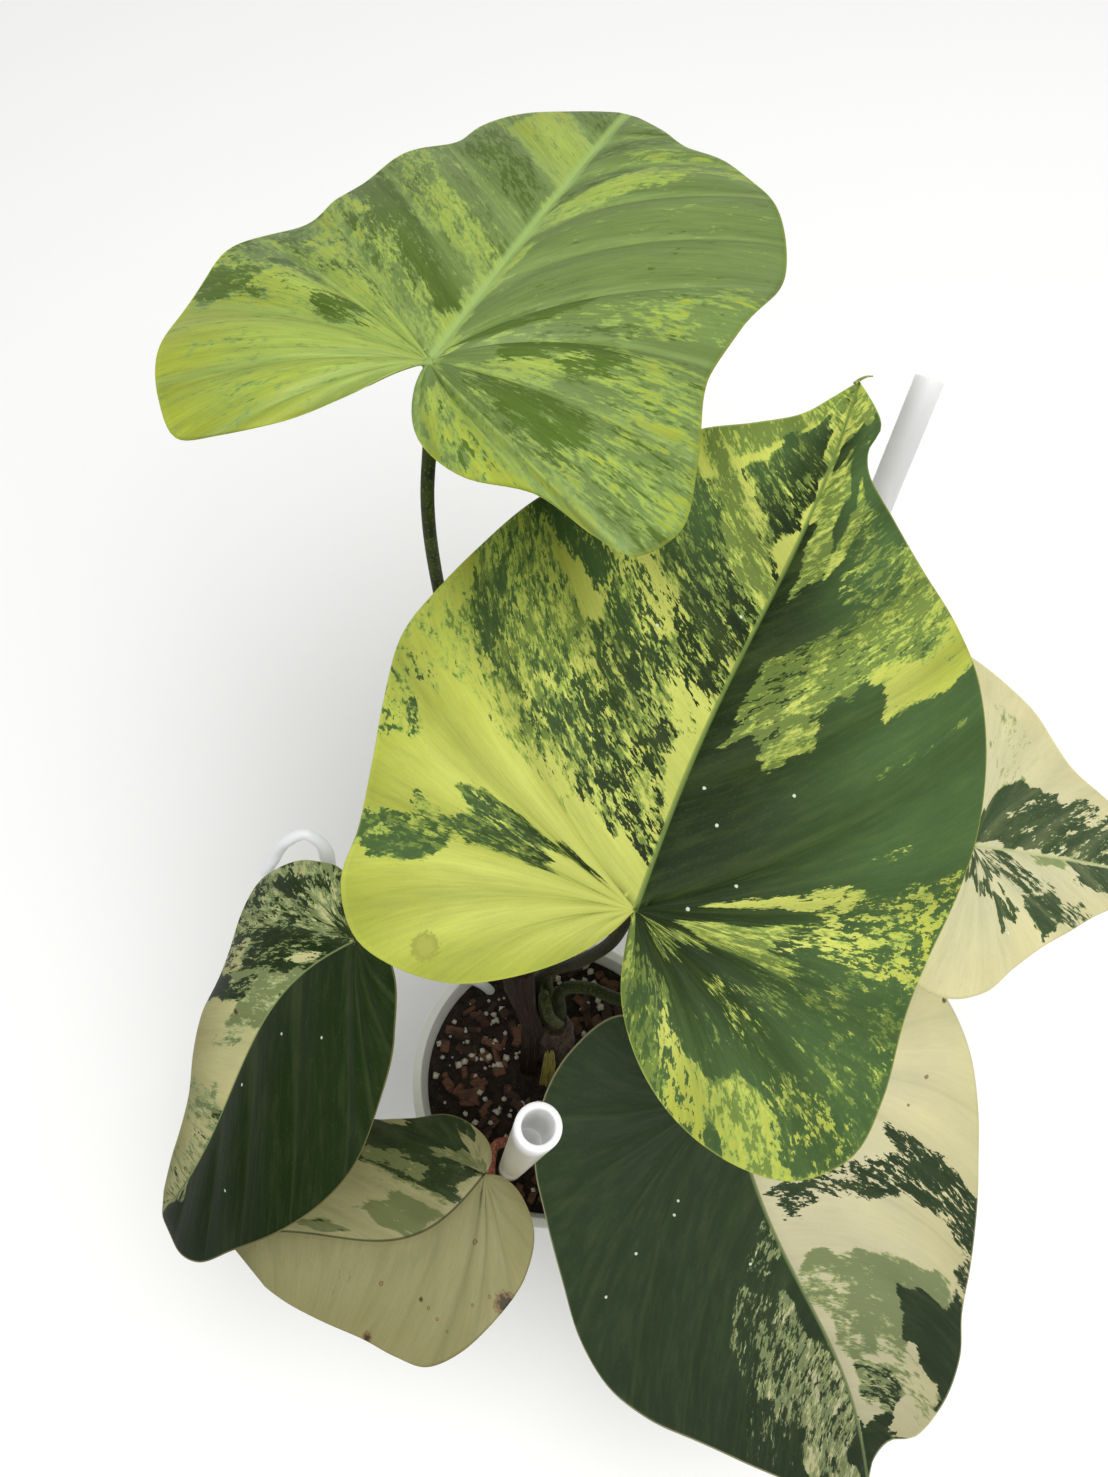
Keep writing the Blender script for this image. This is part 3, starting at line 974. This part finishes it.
def plastic_material(name, tone, roughness, grain, glow=0.0, lip_tone=(0, 0, 0)):
    """Moulded white plastic with a faint mottle, soft scuffs and a fine grain. glow lets light through it,
    and lip_tone is its colour where the stored lip is 1."""
    n = Nodes(name)
    place = n.millimetres()
    cloud = n.noise(place, 0.03, 3, 0.5)
    scuff = n.stretched(place, (0.4, 0.4, 0.06), 5, 0.7)
    fine = n.noise(place, grain, 2, 0.5)
    _, (lip, _, _) = n.attribute("lip")
    colour = n.mix(lip, srgb(*tone), srgb(*lip_tone))
    wear = n.plus(n.times(n.step(cloud, 0.3, 0.7), 0.06),
                  n.times(n.step(scuff, 0.6, 0.8), -0.08))
    colour = n.brighten(colour, n.plus(0.94, wear))
    n.bump(fine, 0.12, 0.0003)
    rough = n.plus(roughness, n.times(scuff, 0.14))
    n.shader.inputs["Subsurface Radius"].default_value = (1.0, 1.0, 1.0)
    return n.surface(Base_Color=colour, Roughness=rough, Subsurface_Weight=glow, Subsurface_Scale=0.01)


def lathe(profile, sides):
    """A closed body of revolution. The profile runs from the axis round to the axis."""
    inner = profile[1:-1]
    angles = np.linspace(0, 2 * np.pi, sides, endpoint=False)
    points = [(0, 0, profile[0][1])]
    for radius, z in inner:
        points.extend((radius * math.cos(a), radius * math.sin(a), z) for a in angles)
    points.append((0, 0, profile[-1][1]))
    return np.array(points, float), ring_faces(len(inner), sides, 1, 0, len(points) - 1)


def rounded(corners, steps=5):
    """The profile with each marked corner (r, z, radius) rounded to an arc-like curve."""
    out = []
    for k, (r, z, size) in enumerate(corners):
        if size == 0:
            out.append((r, z))
            continue
        here = np.array((r, z), float)
        before, after = np.array(corners[k - 1][:2], float), np.array(corners[k + 1][:2], float)
        start = here + (before - here) * size / np.linalg.norm(before - here)
        end = here + (after - here) * size / np.linalg.norm(after - here)
        for t in np.linspace(0, 1, steps):
            out.append(tuple((1 - t) ** 2 * start + 2 * t * (1 - t) * here + t * t * end))
    return out


WALL_SLOPE = (POT_RIM_RADIUS - RIM_BAND_STEP - POT_BASE_RADIUS) / POT_HEIGHT
DRAIN_HOLE_RADIUS = 4
DRAIN_HOLE_RING = 31
DRAIN_HOLES = 8
SOIL_GAP = 0.15
SOIL_FOOT = POT_FLOOR + 0.1
SOIL_RINGS = 64
SOIL_SIDES = 160


def wall_at(z):
    """The radius of the pot's outer wall."""
    return POT_BASE_RADIUS + WALL_SLOPE * z


def make_pot():
    band_foot = POT_HEIGHT - RIM_BAND_HEIGHT
    inner_top = wall_at(POT_HEIGHT) - POT_WALL
    corners = [(0, 0.8, 0), (POT_BASE_RADIUS - 6, 0.8, 0.5), (POT_BASE_RADIUS - 5, 0, 0.5),
               (POT_BASE_RADIUS, 0, 2.0), (wall_at(band_foot), band_foot, 0.6),
               (POT_RIM_RADIUS - 0.3, band_foot, 0.6), (POT_RIM_RADIUS, POT_HEIGHT, 0.9),
               (inner_top, POT_HEIGHT, 0.6), (wall_at(POT_FLOOR) - POT_WALL, POT_FLOOR, 1.5),
               (0, POT_FLOOR, 0)]
    points, faces = lathe(rounded(corners), 128)
    material = plastic_material("pot_plastic", (236, 236, 232), 0.38, 1.5)
    pot = new_piece("plant_pot", points, faces, material, "pot")
    drill_points, drill_faces = [], []
    for hole in range(DRAIN_HOLES):
        turn = 2 * math.pi * (hole + 0.5) / DRAIN_HOLES
        profile = [(0, -4), (DRAIN_HOLE_RADIUS, -4), (DRAIN_HOLE_RADIUS, 8), (0, 8)]
        points, faces = lathe(profile, 32)
        start = len(drill_points)
        drill_points.extend(points + (DRAIN_HOLE_RING * math.cos(turn), DRAIN_HOLE_RING * math.sin(turn), 0))
        drill_faces.extend(tuple(start + v for v in face) for face in faces)
    cut_holes(pot, drill_points, drill_faces)


def cut_holes(piece, points, faces):
    """Cut the drill's shape out of the piece for good."""
    mesh = bpy.data.meshes.new("drill")
    mesh.from_pydata((np.array(points) * MM).tolist(), [], faces)
    drill = bpy.data.objects.new("drill", mesh)
    bpy.context.scene.collection.objects.link(drill)
    cut = piece.modifiers.new("holes", "BOOLEAN")
    cut.operation = "DIFFERENCE"
    cut.solver = "EXACT"
    cut.object = drill
    evaluated = piece.evaluated_get(bpy.context.evaluated_depsgraph_get())
    old = piece.data
    piece.data = bpy.data.meshes.new_from_object(evaluated)
    piece.modifiers.clear()
    bpy.data.meshes.remove(old)
    bpy.data.objects.remove(drill)
    bpy.data.meshes.remove(mesh)
    piece.data.name = piece.name
    piece.data.set_sharp_from_angle(angle=math.radians(40))


def soil_top(x, y):
    """Height of the mix above its level: a low crown with lumps."""
    distance = np.hypot(x, y)
    lumps = (0.7 * np.sin(0.31 * x + 1) * np.cos(0.27 * y)
             + 0.5 * np.sin(0.83 * x - 0.6 * y) * np.cos(0.71 * y + 2))
    fine = 0.35 * np.sin(2.3 * x + 1.1 * y) * np.sin(1.9 * y - 1.3 * x)
    return 1.2 * (1 - (distance / 55) ** 2) + (lumps + fine) * np.clip((54 - distance) / 6, 0.2, 1)


def make_soil():
    """The mix fills the pot: a lumpy top, and smooth walls against the pot."""
    def reach(z):
        return wall_at(z) - POT_WALL - SOIL_GAP

    walls = (60, 30, SOIL_FOOT)
    angles = np.linspace(0, 2 * np.pi, SOIL_SIDES, endpoint=False)
    points = [(0, 0, SOIL_HEIGHT + soil_top(0.0, 0.0))]
    for ring in range(1, SOIL_RINGS + 1):
        radius = reach(SOIL_HEIGHT) * ring / SOIL_RINGS
        x, y = radius * np.cos(angles), radius * np.sin(angles)
        points.extend(np.stack([x, y, SOIL_HEIGHT + soil_top(x, y)], -1))
    for z in walls:
        x, y = reach(z) * np.cos(angles), reach(z) * np.sin(angles)
        points.extend(np.stack([x, y, np.full(SOIL_SIDES, z)], -1))
    points.append((0, 0, SOIL_FOOT))
    inward = ring_faces(SOIL_RINGS + len(walls), SOIL_SIDES, 1, 0, len(points) - 1)
    faces = [(face[0], *face[:0:-1]) for face in inward]
    n = Nodes("potting_mix")
    place = n.millimetres()
    crumb = n.noise(place, 0.9, 5, 0.7)
    clump = n.noise(place, 0.22, 4, 0.6)
    grain = n.cells(place, 0.6)
    colour = n.mix(n.step(clump, 0.35, 0.65), srgb(24, 17, 12), srgb(58, 42, 30))
    colour = n.mix(n.step(crumb, 0.56, 0.72), colour, srgb(98, 66, 44))
    colour = n.mix(n.step(grain, 0.1, 0.16), srgb(120, 96, 70), colour)
    n.bump(n.plus(crumb, n.times(clump, 1.5)), 1.0, 0.003)
    material = n.surface(Base_Color=colour, Roughness=0.93)
    new_piece("potting_mix", points, faces, material, "soil")


# What stands in the mix: its place, and the radius to keep clear
STANDING = ((2, 10, 9.5), (-10.7, 1.5, 6), (-2.8, -3, 5), (-28, 38, 3.5), (-17.8, -36.7, 6.5), (43.5, 7, 8.5))


def clear_of_stems(x, y, room):
    """Nothing loose lies inside the stem, the sheaths or the supports."""
    return all(math.hypot(x - sx, y - sy) > radius + room for sx, sy, radius in STANDING)


def random_place(chance, reach):
    """A place on the mix, spread evenly within the reach."""
    turn, distance = chance.uniform(0, 2 * math.pi), reach * math.sqrt(chance.random())
    return distance * math.cos(turn), distance * math.sin(turn)


CHIPS = 170
CHIP_REACH = 53
BOX_CORNERS = ((-0.5, -0.5), (0.5, -0.5), (0.5, 0.5), (-0.5, 0.5))
BOX_FACES = ((3, 2, 1, 0), (4, 5, 6, 7), (0, 1, 5, 4), (1, 2, 6, 5), (2, 3, 7, 6), (3, 0, 4, 7))


def make_chips():
    """Bark flakes on the mix, split along the grain."""
    chance = random.Random(11)
    points, faces = [], []
    while len(points) < 8 * CHIPS:
        x, y = random_place(chance, CHIP_REACH - 2)
        length, width, height = chance.uniform(3, 11), chance.uniform(2, 5.5), chance.uniform(1, 3)
        if not clear_of_stems(x, y, length / 2) or math.hypot(x, y) + length / 2 > CHIP_REACH:
            continue
        spin = (Matrix.Rotation(chance.uniform(0, math.pi), 3, "Z")
                @ Matrix.Rotation(chance.gauss(0, 0.3), 3, "X")
                @ Matrix.Rotation(chance.gauss(0, 0.3), 3, "Y"))
        lift = SOIL_HEIGHT + float(soil_top(x, y)) + height * chance.uniform(0.05, 0.4)
        start = len(points)
        for dz in (-0.5, 0.5):
            for dx, dy in BOX_CORNERS:
                shrink = chance.uniform(0.72, 1.0)
                corner = Vector((dx * length * shrink, dy * width * chance.uniform(0.7, 1), dz * height))
                points.append(tuple(spin @ corner + Vector((x, y, lift))))
        faces.extend(tuple(start + v for v in face) for face in BOX_FACES)
    n = Nodes("bark_chips")
    place = n.millimetres()
    patch = n.noise(place, 0.09, 2, 0.5)
    grain = n.stretched(place, (0.3, 1.6, 1.2), 4, 0.7)
    colour = n.mix(n.step(patch, 0.4, 0.6), srgb(60, 42, 32), srgb(114, 76, 56))
    colour = n.mix(n.step(grain, 0.45, 0.75), colour, srgb(36, 24, 18))
    n.bump(grain, 0.9, 0.001)
    material = n.surface(Base_Color=colour, Roughness=0.85)
    chips = new_piece("bark_chips", points, faces, material, "soil", smooth=False)
    chips.modifiers.new("worn_edges", "BEVEL").width = 0.0004


GRAINS = 230
GRAIN_CORNERS = [(0, 0, 1), (0.9, 0, 0.2), (0.3, 0.85, 0.2), (-0.7, 0.5, 0.2), (-0.7, -0.5, 0.2),
                 (0.3, -0.85, 0.2), (0, 0, -0.7)]
GRAIN_FACES = ([(0, k, k % 5 + 1) for k in range(1, 6)] + [(6, k % 5 + 1, k) for k in range(1, 6)])


def make_perlite():
    """White expanded grains, as small rough pebbles."""
    chance = random.Random(5)
    points, faces = [], []
    while len(points) < len(GRAIN_CORNERS) * GRAINS:
        x, y = random_place(chance, 52)
        size = chance.uniform(0.6, 2.4)
        if not clear_of_stems(x, y, size):
            continue
        spin = Matrix.Rotation(chance.uniform(0, 6), 3, "Z") @ Matrix.Rotation(chance.uniform(0, 3), 3, "X")
        lift = SOIL_HEIGHT + float(soil_top(x, y)) + 0.5 * size
        start = len(points)
        for corner in GRAIN_CORNERS:
            stretched = Vector(corner) * size * chance.uniform(0.75, 1.2)
            points.append(tuple(spin @ stretched + Vector((x, y, lift))))
        faces.extend(tuple(start + v for v in face) for face in GRAIN_FACES)
    n = Nodes("perlite")
    place = n.millimetres()
    pores = n.noise(place, 2.0, 4, 0.7)
    colour = n.mix(n.step(pores, 0.35, 0.7), srgb(170, 160, 142), srgb(232, 229, 220))
    n.bump(pores, 0.8, 0.0008)
    material = n.surface(Base_Color=colour, Roughness=0.9)
    new_piece("perlite", points, faces, material, "soil")


# Tube stakes and the hooked rod

def make_stake(name, node, top, foot, tone, lip_tone):
    """A white tube with a rounded lip and a bore at its top, paler inside and towards the lip."""
    top, foot = np.array(top, float), np.array(foot, float)
    length = np.linalg.norm(top - foot)
    floor = length - STAKE_BORE_DEPTH
    corners = [(0, 0, 0), (STAKE_RADIUS, 0, 1.0), (STAKE_RADIUS, length - STAKE_PALE_END, 0),
               (STAKE_RADIUS, length, 0.45), (STAKE_BORE_RADIUS, length, 0.35),
               (STAKE_BORE_RADIUS, length - STAKE_LIP_END, 0), (STAKE_BORE_RADIUS, floor, 0.4),
               (0, floor, 0)]
    points, faces = lathe(rounded(corners), 72)
    direction = Vector((top - foot) / length)
    turn = np.array(direction.to_track_quat("Z", "Y").to_matrix())
    inside = np.hypot(points[:, 0], points[:, 1]) < STAKE_RADIUS - 0.2
    lip = np.where(inside, 1, np.clip(1 + (points[:, 2] - length) / STAKE_PALE_END, 0, 1))
    material = plastic_material(name, tone, 0.3, 3.0, 1.0, lip_tone)
    piece = new_piece(name, points @ turn.T + foot, faces, material, node)
    point_attribute(piece, "lip", np.stack([lip, 0 * lip, 0 * lip], -1))
    piece.data.set_sharp_from_angle(angle=math.radians(50))


HOOK_PATH = [(-24, 36, 58), (-28, 38, SOIL_HEIGHT), (-35, 39.5, 110), (-81.9, 45.5, 150), (-104.4, 56.3, 170),
             (-108.6, 62.8, 187), (-102, 66.1, 203), (-94.9, 68, 216), (-88, 69.7, 219), (-82.6, 67.2, 215),
             (-81.4, 63.6, 208), (-81, 61, 203)]


def make_hook():
    def radius_at(t, angle):
        knob = 0.3 * np.exp(-((t - 0.965) / 0.02) ** 2)
        return HOOK_RADIUS * (0.94 + knob - 0.45 * np.clip((t - 0.985) / 0.015, 0, 1) ** 3) + 0 * angle
    points, faces, _ = tube(HOOK_PATH, 160, 28, radius_at)
    material = plastic_material("hook_rod_plastic", (243, 245, 248), 0.28, 3.0)
    new_piece("support_hook", points, faces, material, "hook_rod")


for leaf_name, leaf_facts in LEAVES.items():
    make_leaf(leaf_name, leaf_facts)
make_tip_thread()
make_petioles()
make_stump()
make_stem()
make_dried_sheath()
make_fresh_sheath()
make_pot()
make_soil()
make_chips()
make_perlite()
make_stake("front_stake", "stake_front", top=(-2.5, -38.5, 353.5), foot=(-20.3, -36.4, 50),
           tone=(170, 166, 146), lip_tone=(250, 252, 255))
make_stake("back_stake", "stake_back", top=(125.5, 199.8, 305), foot=(30.6, -23.1, 60),
           tone=(250, 252, 254), lip_tone=(255, 255, 255))
make_hook()


# Stage, lights and camera

FLOOR_SIZE = 12.0
WORLD_STRENGTH = 0.47
WINDOW_PLACE = (0.4, -0.25, 2.1)
WINDOW_SIZE = 2.0
WINDOW_WATTS = 40
WINDOW_COLOUR = (1.0, 0.995, 0.98)
PLANT_MIDDLE = (0.02, 0.03, 0.25)


def make_floor():
    n = Nodes("pale_floor")
    soft = n.noise(n.add("ShaderNodeTexCoord").outputs["Object"], 3.0, 3, 0.5)
    material = n.surface(Base_Color=n.mix(soft, srgb(247, 247, 246), srgb(250, 250, 250)), Roughness=0.9)
    mesh = bpy.data.meshes.new("floor")
    corners = [(FLOOR_SIZE * x, FLOOR_SIZE * y, 0) for x, y in BOX_CORNERS]
    mesh.from_pydata(corners, [], [(0, 1, 2, 3)])
    mesh.materials.append(material)
    floor = bpy.data.objects.new("floor", mesh)
    bpy.context.scene.collection.objects.link(floor)


def area_light(name, place, target, size, watts, colour):
    light = bpy.data.lights.new(name, "AREA")
    light.shape = "DISK"
    light.size = size
    light.energy = watts
    light.color = colour
    lamp = bpy.data.objects.new(name, light)
    bpy.context.scene.collection.objects.link(lamp)
    lamp.location = place
    lamp.rotation_euler = (Vector(target) - Vector(place)).to_track_quat("-Z", "Y").to_euler()


def make_lights():
    world = bpy.data.worlds.new("studio")
    world.use_nodes = True
    background = world.node_tree.nodes["Background"]
    background.inputs["Color"].default_value = (1.0, 1.0, 1.0, 1.0)
    background.inputs["Strength"].default_value = WORLD_STRENGTH
    bpy.context.scene.world = world
    area_light("window", WINDOW_PLACE, PLANT_MIDDLE, WINDOW_SIZE, WINDOW_WATTS, WINDOW_COLOUR)


PHOTO_HEIGHT = 1477
FOCAL_PIXELS = 1100
CAMERA_PLACE = (0.0007, -0.0554, 0.592)
CAMERA_TILT = 23.5


def make_camera():
    """The photo's view: close above the plant, tilted a little from straight down."""
    data = bpy.data.cameras.new("camera")
    data.sensor_width = 36.0
    data.lens = FOCAL_PIXELS / PHOTO_HEIGHT * data.sensor_width
    data.clip_start = 0.01
    camera = bpy.data.objects.new("camera", data)
    bpy.context.scene.collection.objects.link(camera)
    camera.location = CAMERA_PLACE
    camera.rotation_euler = (math.radians(CAMERA_TILT), 0, 0)
    bpy.context.scene.camera = camera


make_floor()
make_lights()
make_camera()
bpy.context.scene.view_settings.view_transform = "Standard"
